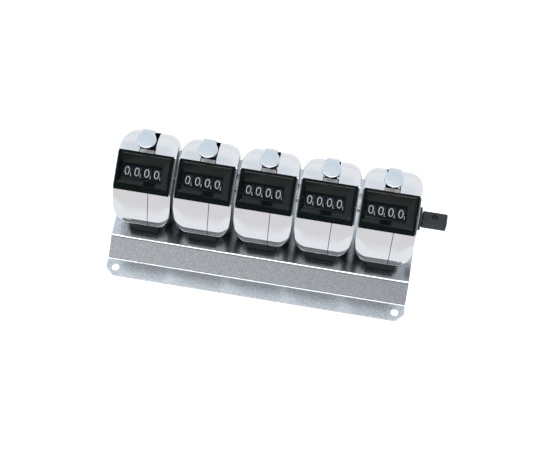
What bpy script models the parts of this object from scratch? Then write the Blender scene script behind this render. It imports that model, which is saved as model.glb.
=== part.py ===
"""A bank of five hand tally counters on one folded base, with a common reset shaft and knob.

Metres, +Z up. The windows and thumb levers face -Y. The origin is on the surface that the base
stands on, under the middle of the whole bank, reset knob included.

Three frames are used below. A counter's frame has its origin on the centre of its round case, midway
across its width. The wheel frame has its origin on the reset shaft. The bezel frame lies in the sloping
front face, +Y up the slope and +Z out of it.
"""

import math

import bmesh
import bpy
from mathutils import Matrix, Vector

# Play between pieces that touch on the real object, and the clearance of a moving one
PLAY = 0.0003

# Bank
COUNTERS = 5
PITCH = 0.0295

# Base: a folded sheet, a raised top plate between two low flanges
BASE_LENGTH = 0.149
SHEET = 0.0012
FLANGE_EDGE_Y = 0.0392
FLANGE_FOLD_Y = 0.0302
PLATE_FOLD_Y = 0.0212
PLATE_TOP = 0.0087
FOLD_RADIUS = 0.0012
CORNER_CHAMFER = 0.0040
FLANGE_HOLE_RADIUS = 0.0020
FLANGE_HOLE_INSET = 0.0046
FLANGE_HOLE_Y = 0.0347

# Case: a round-bottomed shell, flat on top, with a sloping front for the window
CASE_WIDTH = 0.028
CASE_WALL = 0.0008
CASE_FRONT = 0.021
CASE_BACK = 0.020
CASE_BOTTOM = 0.021
CASE_FRONT_RADIUS = 0.0166
CASE_REAR_RADIUS = 0.0185
CASE_TOP = 0.0233
CASE_BACK_RADIUS = 0.0155
CASE_EDGE_RADIUS = 0.0012
CASE_BELLY_RADIUS = 0.008
CASE_BELLY_RISE = 0.0015
CASE_CENTRE_Z = PLATE_TOP + 0.0223
DOME_WIDTH = 0.0066
DOME_END_SCALE = 0.556
DOME_CENTRE_Z = 0.0173
DOME_STEPS = 3
# Degrees round the dome's centre from the front, upwards, and the share of the inset there
DOME_SHARES = (
    (-180, 1.0), (-100, 1.0), (-58, 0.58), (-30, 0.07), (92, 0.07), (125, 0.43), (180, 1.0),
)
SEAM_X = 0.0033
SLOT_LEFT_X = -0.0041
SLOT_BACK_Y = 0.0165
SLOT_DEPTH = 0.008

# Bezel: a black frame over the whole sloping face, with a flared window
BEZEL_SLOPE = math.radians(30)
BEZEL_X = -0.00025
BEZEL_Y = -0.0078
BEZEL_Z = 0.01865
BEZEL_WIDTH = 0.0262
BEZEL_HEIGHT = 0.0186
BEZEL_DEPTH = 0.0034
BEZEL_BEVEL = 0.0004
POCKET_DEPTH = 0.0056
WINDOW_X = -0.00115
WINDOW_Y = 0.00005
WINDOW_WIDTH = 0.0186
WINDOW_HEIGHT = 0.0071
WINDOW_FLARE_LEFT = 0.0019
WINDOW_FLARE_RIGHT = 0.0034
WINDOW_FLARE_TOP = 0.0041
WINDOW_FLARE_BOTTOM = 0.0028
WINDOW_LIP = 0.0012

# Number wheels, on the reset shaft
WHEEL_Y = -0.0012
WHEEL_Z = 0.0061
WHEEL_RADIUS = 0.0102
WHEEL_WIDTH = 0.0042
WHEEL_PITCH = 0.00478
WHEEL_STEPS = 20
UNITS_WHEEL_X = 0.00577
RATCHET_RADIUS = 0.0060
RATCHET_WIDTH = 0.0010
WHEEL_NAMES = ("units_wheel", "tens_wheel", "hundreds_wheel", "thousands_wheel")

# Transfer pinions, between the wheels on a shaft of their own
PINION_DISTANCE = 0.0127
PINION_ANGLE = math.radians(-130)
PINION_TEETH = 6
PINION_RADIUS = 0.0022
PINION_ROOT_RADIUS = 0.0015
PINION_WIDTH = 0.0034
PINION_SHAFT_RADIUS = 0.0007

# Reset shaft, collar, knob and set screw
SHAFT_RADIUS = 0.0015
COLLAR_RADIUS = 0.00565
COLLAR_WIDTH = 0.0014
KNOB_SIZE = 0.0063
KNOB_LENGTH = 0.0121
KNOB_BEVEL = 0.0005
KNOB_BORE_DEPTH = 0.0095
SET_SCREW_HOLE_RADIUS = 0.0015
SET_SCREW_LENGTH = 0.0009
SET_SCREW_SOCKET_RADIUS = 0.0006

# Thumb lever: a round pad on a bent neck, and a yoke that turns on the reset shaft
PAD_RADIUS = 0.0047
PAD_X = -0.0006
PAD_Y = 0.00255
PAD_TOP = 0.0320
LEVER_SHEET = 0.0012
NECK_WIDTH = 0.0061
NECK_X = -0.00065
NECK_BACK_Y = 0.0090
NECK_BEND_RADIUS = 0.0015
STRAP_BOTTOM = 0.0130
STRAP_TOP = 0.0155
ARM_SHEET = 0.0004
ARM_LEFT_X = -0.0111
ARM_RIGHT_X = 0.0096
ARM_HALF_WIDTH = 0.0017
HUB_RADIUS = 0.0024
HUB_LENGTH = 0.0019
LEVER_LAP = 0.00004

# Inner frame: two side plates joined by a back web, a top bar with the slot's tab, and a foot
FRAME_SHEET = 0.0005
FRAME_HALF_WIDTH = 0.0121
FRAME_BACK_Y = 0.0126
FRAME_BACK_BOTTOM = -0.0052
FRAME_BACK_TOP = 0.0120
FRAME_BACK_RADIUS = 0.0050
FRAME_CREST_Y = 0.0020
FRAME_CREST_Z = 0.0188
FRAME_BROW_Y = 0.0115
FRAME_BROW_Z = 0.0110
FRAME_BROW_RADIUS = 0.0030
FRAME_FRONT_Y = 0.0130
FRAME_FOOT_Y = 0.0056
FRAME_WEB = 0.0008
FRAME_WEB_TOP = 0.0090
FRAME_BOTTOM = -0.0112
FRAME_FLOOR = 0.0010
FRAME_FLOOR_Y = 0.0050
BOSS_RADIUS = 0.0032
TAB_TOP = 0.0229
TAB_BACK_Y = 0.0027
TAB_FRONT_Y = 0.00075
TAB_BEND_Z = 0.0202
BAR_FRONT_Y = 0.0023
BAR_BOTTOM = 0.0164
BAR_TOP = 0.0176

# Mounting block under every counter, and the holes for its screw
BLOCK_WIDTH = 0.0138
BLOCK_HALF_DEPTH = 0.0166
BLOCK_TOP = -0.0100
SCREW_HOLE_RADIUS = 0.0020
SCREW_TOP = -0.0130

# Worked out from the above
CASE_HALF_WIDTH = CASE_WIDTH / 2
CASE_FLAT_HALF_WIDTH = CASE_HALF_WIDTH - DOME_WIDTH
BORE_RADIUS = SHAFT_RADIUS + PLAY
BANK_RIGHT_X = PITCH * (COUNTERS - 1) / 2 + CASE_HALF_WIDTH
KNOB_START_X = BANK_RIGHT_X + COLLAR_WIDTH + 2 * PLAY
KNOB_END_X = KNOB_START_X + KNOB_LENGTH
BASE_CENTRE_X = -(KNOB_END_X - BASE_LENGTH / 2) / 2
PINION_Y = WHEEL_Y + PINION_DISTANCE * math.cos(PINION_ANGLE)
PINION_Z = WHEEL_Z + PINION_DISTANCE * math.sin(PINION_ANGLE)
BEZEL_FRAME = (
    Matrix.Translation((BEZEL_X, BEZEL_Y, BEZEL_Z)) @ Matrix.Rotation(BEZEL_SLOPE, 4, "X")
)

for leftover in list(bpy.data.objects):
    bpy.data.objects.remove(leftover, do_unlink=True)

parts = bpy.data.collections.new("tally_counter_bank")
cutters = bpy.data.collections.new("cutters")
bpy.context.scene.collection.children.link(parts)
bpy.context.scene.collection.children.link(cutters)


# Helpers


def material(name, colour, roughness, metallic):
    made = bpy.data.materials.new(name)
    made.use_nodes = True
    shader = made.node_tree.nodes["Principled BSDF"]
    shader.inputs["Base Color"].default_value = (*colour, 1.0)
    shader.inputs["Roughness"].default_value = roughness
    shader.inputs["Metallic"].default_value = metallic
    made.diffuse_color = (*colour, 1.0)
    return made


def place(name, mesh, finish, location=(0, 0, 0)):
    """An object in the model's own collection, with this finish."""
    made = bpy.data.objects.new(name, mesh)
    made.location = location
    parts.objects.link(made)
    if not mesh.materials:
        mesh.materials.append(finish)
    return made


def helper(name, mesh):
    """An object in the cutters' collection, which isn't part of the model."""
    made = bpy.data.objects.new(name, mesh)
    made.hide_render = True
    made.display_type = "WIRE"
    cutters.objects.link(made)
    return made


def box_mesh(low, high):
    """A box between two opposite corners."""
    mesh = bpy.data.meshes.new("box")
    shape = bmesh.new()
    bmesh.ops.create_cube(shape, size=1.0)
    low = Vector(low)
    size = Vector(high) - low
    bmesh.ops.transform(
        shape,
        matrix=Matrix.Translation(low + size / 2) @ Matrix.Diagonal((*size, 1.0)),
        verts=shape.verts,
    )
    shape.to_mesh(mesh)
    shape.free()
    return mesh


def rod_mesh(radius, start, end, segments=12):
    """A cylinder between two points."""
    mesh = bpy.data.meshes.new("rod")
    shape = bmesh.new()
    start = Vector(start)
    along = Vector(end) - start
    bmesh.ops.create_cone(
        shape,
        cap_ends=True,
        segments=segments,
        radius1=radius,
        radius2=radius,
        depth=along.length,
        matrix=Matrix.Translation(start + along / 2)
        @ along.to_track_quat("Z", "Y").to_matrix().to_4x4(),
    )
    shape.to_mesh(mesh)
    shape.free()
    return mesh


def loft_mesh(rings):
    """A closed skin through rings that have the same number of points."""
    mesh = bpy.data.meshes.new("loft")
    shape = bmesh.new()
    rows = [[shape.verts.new(point) for point in ring] for ring in rings]
    for row, following in zip(rows, rows[1:]):
        for i in range(len(row)):
            j = (i + 1) % len(row)
            shape.faces.new((row[i], row[j], following[j], following[i]))
    shape.faces.new(rows[0])
    shape.faces.new(rows[-1])
    bmesh.ops.recalc_face_normals(shape, faces=shape.faces)
    shape.to_mesh(mesh)
    shape.free()
    return mesh


def rounded(corners, step_degrees=20, closed=True):
    """An outline through corners of (y, z, radius), each turned by an arc of that radius."""
    points = []
    last = len(corners) - 1
    for i, (y, z, radius) in enumerate(corners):
        corner = Vector((y, z))
        if radius == 0 or (not closed and i in (0, last)):
            points.append(corner)
            continue
        back = (Vector(corners[i - 1][:2]) - corner).normalized()
        ahead = (Vector(corners[(i + 1) % len(corners)][:2]) - corner).normalized()
        turn = math.pi - back.angle(ahead)
        centre = corner + (back + ahead).normalized() * radius / math.cos(turn / 2)
        spoke = corner + back * radius * math.tan(turn / 2) - centre
        sign = -1 if back.cross(ahead) > 0 else 1
        steps = max(1, round(math.degrees(turn) / step_degrees))
        for k in range(steps + 1):
            arm = spoke.copy()
            arm.rotate(Matrix.Rotation(sign * turn * k / steps, 2))
            points.append(centre + arm)
    return points


def prism_mesh(outline, left, right):
    """A flat outline in Y and Z, drawn out along X."""
    return loft_mesh([[(x, y, z) for y, z in outline] for x in (left, right)])


def turned_mesh(profile, steps):
    """A closed profile of (radius, x) points turned round the X axis by a Screw modifier."""
    mesh = bpy.data.meshes.new("profile")
    count = len(profile)
    mesh.from_pydata(
        [(x, radius, 0.0) for radius, x in profile],
        [(i, (i + 1) % count) for i in range(count)],
        [],
    )
    source = helper("profile", mesh)
    screw = source.modifiers.new("turn", "SCREW")
    screw.axis = "X"
    screw.steps = steps
    screw.render_steps = steps
    screw.use_merge_vertices = True
    screw.merge_threshold = 0.00001
    screw.use_normal_calculate = True
    return baked(source)


def cut(target, mesh, name, matrix=None):
    """Takes a shape away from an object, with a Boolean modifier."""
    return combine(target, mesh, name, "DIFFERENCE", matrix)


def add(target, mesh, name, matrix=None):
    """Joins a shape to an object, with a Boolean modifier."""
    return combine(target, mesh, name, "UNION", matrix)


def combine(target, mesh, name, operation, matrix):
    tool = helper(name, mesh)
    if matrix is not None:
        tool.matrix_world = matrix
    boolean = target.modifiers.new(name, "BOOLEAN")
    boolean.operation = operation
    boolean.solver = "EXACT"
    boolean.object = tool
    return target


def baked(source):
    """The mesh that an object's modifiers make, in the object's parent frame. The object is removed."""
    bpy.context.view_layer.update()
    graph = bpy.context.evaluated_depsgraph_get()
    mesh = bpy.data.meshes.new_from_object(source.evaluated_get(graph), depsgraph=graph)
    mesh.transform(source.matrix_world)
    bpy.data.objects.remove(source, do_unlink=True)
    shape = bmesh.new()
    shape.from_mesh(mesh)
    bmesh.ops.remove_doubles(shape, verts=shape.verts, dist=0.000001)
    bmesh.ops.recalc_face_normals(shape, faces=shape.faces)
    shape.to_mesh(mesh)
    shape.free()
    smooth(mesh)
    mesh.materials.clear()
    return mesh


def smooth(mesh):
    mesh.shade_smooth()
    mesh.set_sharp_from_angle(angle=math.radians(32))


def counter_origin(index):
    """The origin of this counter's frame."""
    x = BASE_CENTRE_X + (index - (COUNTERS - 1) / 2) * PITCH
    return Vector((x, 0.0, CASE_CENTRE_Z))


def place_in_each(name, mesh, finish, offset=(0, 0, 0)):
    """One copy of a piece in every counter, at this place in the counter's frame."""
    for index in range(COUNTERS):
        place(f"{name}_{index + 1}", mesh, finish, counter_origin(index) + Vector(offset))


# Case shells


def case_outline(grow=0.0):
    """The case seen from its side, from the front of the bottom round the back to the front."""
    front = CASE_FRONT + grow
    back = CASE_BACK + grow
    bottom = CASE_BOTTOM + grow
    rise = BEZEL_HEIGHT / 2 * math.sin(BEZEL_SLOPE)
    run = BEZEL_HEIGHT / 2 * math.cos(BEZEL_SLOPE)
    belly_z = CASE_FRONT_RADIUS - CASE_BOTTOM + CASE_BELLY_RISE
    return rounded(
        [
            (-front, -bottom, CASE_FRONT_RADIUS + grow),
            (back, -bottom, CASE_REAR_RADIUS + grow),
            (back, CASE_TOP, CASE_BACK_RADIUS),
            (BEZEL_Y + run, BEZEL_Z + rise, CASE_EDGE_RADIUS),
            (BEZEL_Y - run, BEZEL_Z - rise, CASE_EDGE_RADIUS),
            (-front, belly_z, CASE_BELLY_RADIUS),
        ]
    )


def inset_share(y, z):
    """How much of the dome's inset a point takes, from its direction out of the dome's centre."""
    angle = math.degrees(math.atan2(z - DOME_CENTRE_Z, -y))
    for (start, low), (end, high) in zip(DOME_SHARES, DOME_SHARES[1:]):
        if angle <= end:
            away = (angle - start) / (end - start)
            return low + (high - low) * away * away * (3 - 2 * away)
    return DOME_SHARES[-1][1]


def case_ring(x, scale, outline):
    """The case's outline at this x, drawn in towards the dome's centre."""
    ring = []
    for y, z in outline:
        kept = 1 - (1 - scale) * inset_share(y, z)
        ring.append((x, y * kept, DOME_CENTRE_Z + (z - DOME_CENTRE_Z) * kept))
    return ring


def drawn_in(outline, distance):
    """The outline with every point moved inwards by this distance."""
    moved = []
    for i, point in enumerate(outline):
        ahead = (outline[(i + 1) % len(outline)] - point).normalized()
        behind = (point - outline[i - 1]).normalized()
        along = (ahead + behind).normalized()
        inward = Vector((-along.y, along.x))
        moved.append(point + inward * distance / math.cos(ahead.angle(behind) / 2))
    return moved


def dome_rings(side, start, width, outline):
    """Rings from a flat start along X to the domed end of a case, at this dome width."""
    rings = [case_ring(start, 1.0, outline)]
    for step in range(DOME_STEPS + 1):
        turn = math.pi / 2 * step / DOME_STEPS
        x = side * (CASE_FLAT_HALF_WIDTH + width * math.sin(turn))
        scale = DOME_END_SCALE + (1 - DOME_END_SCALE) * math.cos(turn)
        rings.append(case_ring(x, scale, outline))
    return rings


def case_shell(side):
    """One half of the case, from the seam to its domed end: side is 1 on the right, -1 on the left."""
    outline = case_outline()
    seam = SEAM_X + side * PLAY / 2
    shell = helper("case_shell", loft_mesh(dome_rings(side, seam, DOME_WIDTH, outline)))
    hollow = dome_rings(
        side, seam - side * CASE_WALL, DOME_WIDTH - CASE_WALL, drawn_in(outline, CASE_WALL)
    )
    cut(shell, loft_mesh(hollow), "case_hollow")
    half_width = BEZEL_WIDTH / 2 + PLAY
    half_height = BEZEL_HEIGHT / 2 + PLAY
    pocket = box_mesh(
        (-half_width, -half_height, -POCKET_DEPTH), (half_width, half_height, POCKET_DEPTH)
    )
    cut(shell, pocket, "bezel_pocket", BEZEL_FRAME)
    bore = rod_mesh(
        BORE_RADIUS, (-CASE_WIDTH, WHEEL_Y, WHEEL_Z), (CASE_WIDTH, WHEEL_Y, WHEEL_Z)
    )
    cut(shell, bore, "case_shaft_hole")
    if side < 0:
        slot = box_mesh(
            (SLOT_LEFT_X, BEZEL_Y / 2, CASE_TOP - SLOT_DEPTH),
            (SEAM_X + PLAY, SLOT_BACK_Y, CASE_TOP + CASE_WALL),
        )
        cut(shell, slot, "lever_slot")
        screw_hole = rod_mesh(
            SCREW_HOLE_RADIUS, (0, 0, -CASE_BOTTOM - CASE_WALL), (0, 0, SCREW_TOP)
        )
        cut(shell, screw_hole, "case_screw_hole")
    return baked(shell)


# Bezel


def window_ring(depth, flare):
    """The window's opening in the bezel frame, at this depth, flared by this share."""
    left = WINDOW_X - WINDOW_WIDTH / 2 - flare * WINDOW_FLARE_LEFT
    right = WINDOW_X + WINDOW_WIDTH / 2 + flare * WINDOW_FLARE_RIGHT
    bottom = WINDOW_Y - WINDOW_HEIGHT / 2 - flare * WINDOW_FLARE_BOTTOM
    top = WINDOW_Y + WINDOW_HEIGHT / 2 + flare * WINDOW_FLARE_TOP
    return [(left, bottom, -depth), (right, bottom, -depth), (right, top, -depth), (left, top, -depth)]


def bezel():
    half_width = BEZEL_WIDTH / 2
    half_height = BEZEL_HEIGHT / 2
    frame = helper(
        "bezel", box_mesh((-half_width, -half_height, -BEZEL_DEPTH), (half_width, half_height, 0))
    )
    edges = frame.modifiers.new("edges", "BEVEL")
    edges.width = BEZEL_BEVEL
    edges.segments = 1
    flare_depth = BEZEL_DEPTH - WINDOW_LIP
    opening = loft_mesh(
        [
            window_ring(BEZEL_DEPTH + PLAY, 0.0),
            window_ring(flare_depth, 0.0),
            window_ring(-flare_depth, 2.0),
        ]
    )
    frame.matrix_world = BEZEL_FRAME
    cut(frame, opening, "window", BEZEL_FRAME)
    return baked(frame)


# Number wheels and transfer pinions


def wheel(ratchet):
    """A number wheel round its own centre, with a ratchet disc on the right of the units wheel."""
    half = WHEEL_WIDTH / 2
    profile = [(BORE_RADIUS, -half), (WHEEL_RADIUS, -half), (WHEEL_RADIUS, half)]
    if ratchet:
        profile.append((RATCHET_RADIUS, half))
        profile.append((RATCHET_RADIUS, half + RATCHET_WIDTH))
        profile.append((BORE_RADIUS, half + RATCHET_WIDTH))
    else:
        profile.append((BORE_RADIUS, half))
    return turned_mesh(profile, WHEEL_STEPS)


def gear_outline():
    """Teeth round the origin, in Y and Z."""
    points = []
    for tooth in range(PINION_TEETH):
        for offset, radius in ((-0.25, PINION_ROOT_RADIUS), (0.25, PINION_RADIUS)):
            angle = 2 * math.pi * (tooth + offset) / PINION_TEETH
            points.append((radius * math.cos(angle), radius * math.sin(angle)))
    return points


def transfer_pinion():
    """Three pinions on one shaft, which turns in the frame's side plates."""
    end = FRAME_HALF_WIDTH
    shaft = helper("pinion", rod_mesh(PINION_SHAFT_RADIUS, (-end, 0, 0), (end, 0, 0), 6))
    for gap in range(len(WHEEL_NAMES) - 1):
        middle = UNITS_WHEEL_X - (gap + 0.5) * WHEEL_PITCH
        gear = prism_mesh(gear_outline(), middle - PINION_WIDTH / 2, middle + PINION_WIDTH / 2)
        add(shaft, gear, f"gear_{gap + 1}")
    return baked(shaft)


# Thumb lever


def lever_arm(middle_x):
    """A flat arm from the hub to the strap, in the wheel frame."""
    foot = Vector((0.0, 0.0))
    head = Vector((NECK_BACK_Y - LEVER_SHEET / 2 - WHEEL_Y, (STRAP_BOTTOM + STRAP_TOP) / 2 - WHEEL_Z))
    across = (head - foot).normalized().orthogonal() * ARM_HALF_WIDTH
    beyond = (head - foot).normalized() * LEVER_SHEET / 2
    outline = [foot - across, foot + across, head + across + beyond, head - across + beyond]
    return prism_mesh(
        [tuple(point) for point in outline], middle_x - ARM_SHEET / 2, middle_x + ARM_SHEET / 2
    )


def thumb_lever():
    """The whole lever in the wheel frame: its hinge is the X axis."""
    under = PAD_TOP - LEVER_SHEET
    front = NECK_BACK_Y - LEVER_SHEET
    neck_outline = [
        (y - WHEEL_Y, z - WHEEL_Z)
        for y, z in rounded(
            [
                (NECK_BACK_Y, STRAP_BOTTOM + PLAY, 0),
                (NECK_BACK_Y, PAD_TOP, NECK_BEND_RADIUS),
                (PAD_Y, PAD_TOP, 0),
                (PAD_Y, under, 0),
                (front, under, NECK_BEND_RADIUS - LEVER_SHEET),
                (front, STRAP_BOTTOM + PLAY, 0),
            ],
            step_degrees=30,
        )
    ]
    lever = helper(
        "lever", prism_mesh(neck_outline, NECK_X - NECK_WIDTH / 2, NECK_X + NECK_WIDTH / 2)
    )
    pad_y = PAD_Y - WHEEL_Y
    pad_top = PAD_TOP - WHEEL_Z
    pad = rod_mesh(
        PAD_RADIUS, (PAD_X, pad_y, pad_top - LEVER_SHEET - LEVER_LAP), (PAD_X, pad_y, pad_top + LEVER_LAP), 20
    )
    add(lever, pad, "pad")
    strap = box_mesh(
        (ARM_LEFT_X - ARM_SHEET / 2, front - WHEEL_Y - LEVER_LAP, STRAP_BOTTOM - WHEEL_Z),
        (ARM_RIGHT_X + ARM_SHEET / 2, NECK_BACK_Y - WHEEL_Y + LEVER_LAP, STRAP_TOP - WHEEL_Z),
    )
    add(lever, strap, "strap")
    add(lever, lever_arm(ARM_LEFT_X), "left_arm")
    add(lever, lever_arm(ARM_RIGHT_X), "right_arm")
    left_face = ARM_LEFT_X - ARM_SHEET / 2 + LEVER_LAP
    add(lever, rod_mesh(HUB_RADIUS, (left_face, 0, 0), (left_face + ARM_SHEET, 0, 0)), "left_hub")
    right_face = ARM_RIGHT_X - ARM_SHEET / 2 + LEVER_LAP
    add(lever, rod_mesh(HUB_RADIUS, (right_face, 0, 0), (right_face + HUB_LENGTH, 0, 0)), "right_hub")
    bore = rod_mesh(BORE_RADIUS, (-CASE_WIDTH, 0, 0), (CASE_WIDTH, 0, 0))
    cut(lever, bore, "lever_bore")
    return baked(lever)


# Inner frame


def frame_side_outline():
    return rounded(
        [
            (-FRAME_FOOT_Y, FRAME_BOTTOM, 0),
            (FRAME_FOOT_Y, FRAME_BOTTOM, 0),
            (FRAME_BACK_Y, FRAME_BACK_BOTTOM, 0),
            (FRAME_BACK_Y, FRAME_BACK_TOP, FRAME_BACK_RADIUS),
            (FRAME_CREST_Y, FRAME_CREST_Z, 0),
            (-FRAME_BROW_Y, FRAME_BROW_Z, FRAME_BROW_RADIUS),
            (-FRAME_FRONT_Y, 0.0, 0),
        ],
        step_degrees=45,
    )


def inner_frame():
    """The pressed steel frame that holds the shafts, in the counter frame."""
    inside = FRAME_HALF_WIDTH - FRAME_SHEET
    outline = frame_side_outline()
    frame = helper("inner_frame", prism_mesh(outline, -FRAME_HALF_WIDTH, -inside))
    add(frame, prism_mesh(outline, inside, FRAME_HALF_WIDTH), "right_side")
    lap = inside + FRAME_SHEET / 2
    web = box_mesh(
        (-lap, FRAME_BACK_Y - FRAME_WEB - PLAY, FRAME_BACK_BOTTOM + PLAY),
        (lap, FRAME_BACK_Y - PLAY, FRAME_WEB_TOP),
    )
    add(frame, web, "web")
    floor = box_mesh(
        (-lap, -FRAME_FLOOR_Y, FRAME_BOTTOM + PLAY),
        (lap, FRAME_FLOOR_Y, FRAME_BOTTOM + PLAY + FRAME_FLOOR),
    )
    add(frame, floor, "floor")
    boss = rod_mesh(
        BOSS_RADIUS,
        (0, 0, -CASE_BOTTOM + CASE_WALL + 2 * PLAY),
        (0, 0, FRAME_BOTTOM + PLAY + FRAME_FLOOR / 2),
        12,
    )
    add(frame, boss, "boss")
    bar = box_mesh((-lap, BAR_FRONT_Y, BAR_BOTTOM), (lap, TAB_BACK_Y, BAR_TOP))
    add(frame, bar, "bar")
    inset = PLAY / 10
    tab_outline = [
        (TAB_FRONT_Y, TAB_TOP),
        (TAB_BACK_Y - inset, TAB_TOP),
        (TAB_BACK_Y - inset, BAR_BOTTOM + inset),
        (BAR_FRONT_Y + inset, BAR_BOTTOM + inset),
        (BAR_FRONT_Y + inset, TAB_BEND_Z),
    ]
    tab = prism_mesh(tab_outline, SLOT_LEFT_X + PLAY, SEAM_X - PLAY)
    add(frame, tab, "tab")
    for name, radius, y, z in (
        ("frame_shaft_hole", BORE_RADIUS, WHEEL_Y, WHEEL_Z),
        ("frame_pinion_hole", PINION_SHAFT_RADIUS + PLAY, PINION_Y, PINION_Z),
    ):
        hole = rod_mesh(radius, (-CASE_WIDTH, y, z), (CASE_WIDTH, y, z), 12)
        cut(frame, hole, name)
    thread = rod_mesh(SCREW_HOLE_RADIUS, (0, 0, -CASE_BOTTOM), (0, 0, SCREW_TOP + PLAY), 12)
    cut(frame, thread, "boss_thread")
    return baked(frame)


# Reset shaft, collar, knob


def shaft_point(x):
    """A point on the reset shaft's axis, in the model's frame."""
    return Vector((BASE_CENTRE_X + x, WHEEL_Y, CASE_CENTRE_Z + WHEEL_Z))


def build_reset_shaft(steel):
    start = shaft_point(-BANK_RIGHT_X + CASE_WALL / 2)
    end = shaft_point(KNOB_START_X + KNOB_BORE_DEPTH - PLAY)
    mesh = rod_mesh(SHAFT_RADIUS, (0, 0, 0), end - start)
    smooth(mesh)
    place("reset_shaft", mesh, steel, start)


def build_collar(black):
    profile = [
        (BORE_RADIUS, 0.0),
        (COLLAR_RADIUS - PLAY, 0.0),
        (COLLAR_RADIUS, PLAY),
        (COLLAR_RADIUS, COLLAR_WIDTH - PLAY),
        (COLLAR_RADIUS - PLAY, COLLAR_WIDTH),
        (BORE_RADIUS, COLLAR_WIDTH),
    ]
    place("shaft_collar", turned_mesh(profile, 20), black, shaft_point(BANK_RIGHT_X + PLAY))


def build_knob(black, steel):
    """A square bar, bored for the shaft, with its set screw in the middle of the top."""
    half = KNOB_SIZE / 2
    middle = KNOB_LENGTH / 2
    knob = helper("knob", box_mesh((0, -half, -half), (KNOB_LENGTH, half, half)))
    edges = knob.modifiers.new("edges", "BEVEL")
    edges.width = KNOB_BEVEL
    edges.segments = 2
    cut(knob, rod_mesh(BORE_RADIUS, (-PLAY, 0, 0), (KNOB_BORE_DEPTH, 0, 0)), "knob_bore")
    hole = rod_mesh(SET_SCREW_HOLE_RADIUS, (middle, 0, 0), (middle, 0, KNOB_SIZE))
    cut(knob, hole, "knob_screw_hole")
    place("reset_knob", baked(knob), black, shaft_point(KNOB_START_X))

    low = SHAFT_RADIUS + PLAY / 2
    screw = helper(
        "set_screw",
        rod_mesh(
            SET_SCREW_HOLE_RADIUS - PLAY,
            (middle, 0, low),
            (middle, 0, low + SET_SCREW_LENGTH),
        ),
    )
    socket = rod_mesh(
        SET_SCREW_SOCKET_RADIUS,
        (middle, 0, low + SET_SCREW_LENGTH / 2),
        (middle, 0, low + 2 * SET_SCREW_LENGTH),
        6,
    )
    cut(screw, socket, "hex_socket")
    place("knob_set_screw", baked(screw), steel, shaft_point(KNOB_START_X))


# Base and mounting blocks


def base_half(direction):
    """The sheet's upper line from the middle of the top plate to one flange's edge."""
    return [
        (direction * PLATE_FOLD_Y, PLATE_TOP, FOLD_RADIUS + SHEET),
        (direction * FLANGE_FOLD_Y, SHEET, FOLD_RADIUS),
        (direction * FLANGE_EDGE_Y, SHEET, 0),
    ]


def build_base(zinc):
    line = rounded(
        list(reversed(base_half(-1))) + base_half(1), step_degrees=20, closed=False
    )
    half = BASE_LENGTH / 2
    mesh = bpy.data.meshes.new("base")
    shape = bmesh.new()
    rows = [[shape.verts.new((x, y, z)) for y, z in line] for x in (-half, half)]
    for i in range(len(line) - 1):
        shape.faces.new((rows[0][i], rows[1][i], rows[1][i + 1], rows[0][i + 1]))
    shape.to_mesh(mesh)
    shape.free()
    base = place("base_plate", mesh, zinc, (BASE_CENTRE_X, 0, 0))
    sheet = base.modifiers.new("sheet", "SOLIDIFY")
    sheet.thickness = SHEET
    sheet.offset = -1
    sheet.use_even_offset = True
    reach = 2 * CORNER_CHAMFER
    for side in (-1, 1):
        for end in (-1, 1):
            corner = Vector((BASE_CENTRE_X + end * half, side * FLANGE_EDGE_Y, 0))
            wedge = box_mesh((-reach, -reach, -SHEET), (reach, reach, 2 * SHEET))
            turn = Matrix.Rotation(math.radians(45), 4, "Z")
            outward = Vector((end, side, 0)).normalized() * (reach - CORNER_CHAMFER / math.sqrt(2))
            name = f"corner_{end + 1}{side + 1}"
            cut(base, wedge, name, Matrix.Translation(corner + outward) @ turn)
            x = BASE_CENTRE_X + end * (half - FLANGE_HOLE_INSET)
            y = side * FLANGE_HOLE_Y
            hole = rod_mesh(FLANGE_HOLE_RADIUS, (x, y, -SHEET), (x, y, 2 * SHEET))
            cut(base, hole, f"flange_hole_{end + 1}{side + 1}")
    for index in range(COUNTERS):
        x = counter_origin(index).x
        hole = rod_mesh(
            SCREW_HOLE_RADIUS, (x, 0, PLATE_TOP - 2 * SHEET), (x, 0, PLATE_TOP + SHEET), 12
        )
        cut(base, hole, f"plate_hole_{index + 1}")
    smooth(mesh)


def mounting_block():
    """A saddle between the top plate and the round bottom of the case."""
    low = PLATE_TOP + PLAY - CASE_CENTRE_Z
    half = BLOCK_WIDTH / 2
    block = helper(
        "block",
        box_mesh((-half, -BLOCK_HALF_DEPTH, low), (half, BLOCK_HALF_DEPTH, BLOCK_TOP)),
    )
    cut(block, prism_mesh(case_outline(PLAY), -CASE_WIDTH, CASE_WIDTH), "saddle")
    hole = rod_mesh(SCREW_HOLE_RADIUS, (0, 0, low - SHEET), (0, 0, low + SHEET), 12)
    cut(block, hole, "block_screw_hole")
    return baked(block)


# The whole bank

chrome = material("chrome", (0.86, 0.87, 0.88), 0.08, 1.0)
black_plastic = material("black_plastic", (0.012, 0.012, 0.013), 0.32, 0.0)
wheel_black = material("wheel_black", (0.010, 0.010, 0.011), 0.45, 0.0)
steel = material("steel", (0.62, 0.62, 0.63), 0.28, 1.0)
zinc = material("zinc_plate", (0.66, 0.70, 0.74), 0.24, 1.0)

place_in_each("case_left", case_shell(-1), chrome)
place_in_each("case_right", case_shell(1), chrome)
place_in_each("bezel", bezel(), black_plastic)
place_in_each("inner_frame", inner_frame(), steel)
place_in_each("thumb_lever", thumb_lever(), chrome, (0, WHEEL_Y, WHEEL_Z))

plain_wheel = wheel(ratchet=False)
for order, wheel_name in enumerate(WHEEL_NAMES):
    wheel_mesh = plain_wheel if order else wheel(ratchet=True)
    wheel_x = UNITS_WHEEL_X - order * WHEEL_PITCH
    place_in_each(wheel_name, wheel_mesh, wheel_black, (wheel_x, WHEEL_Y, WHEEL_Z))

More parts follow.
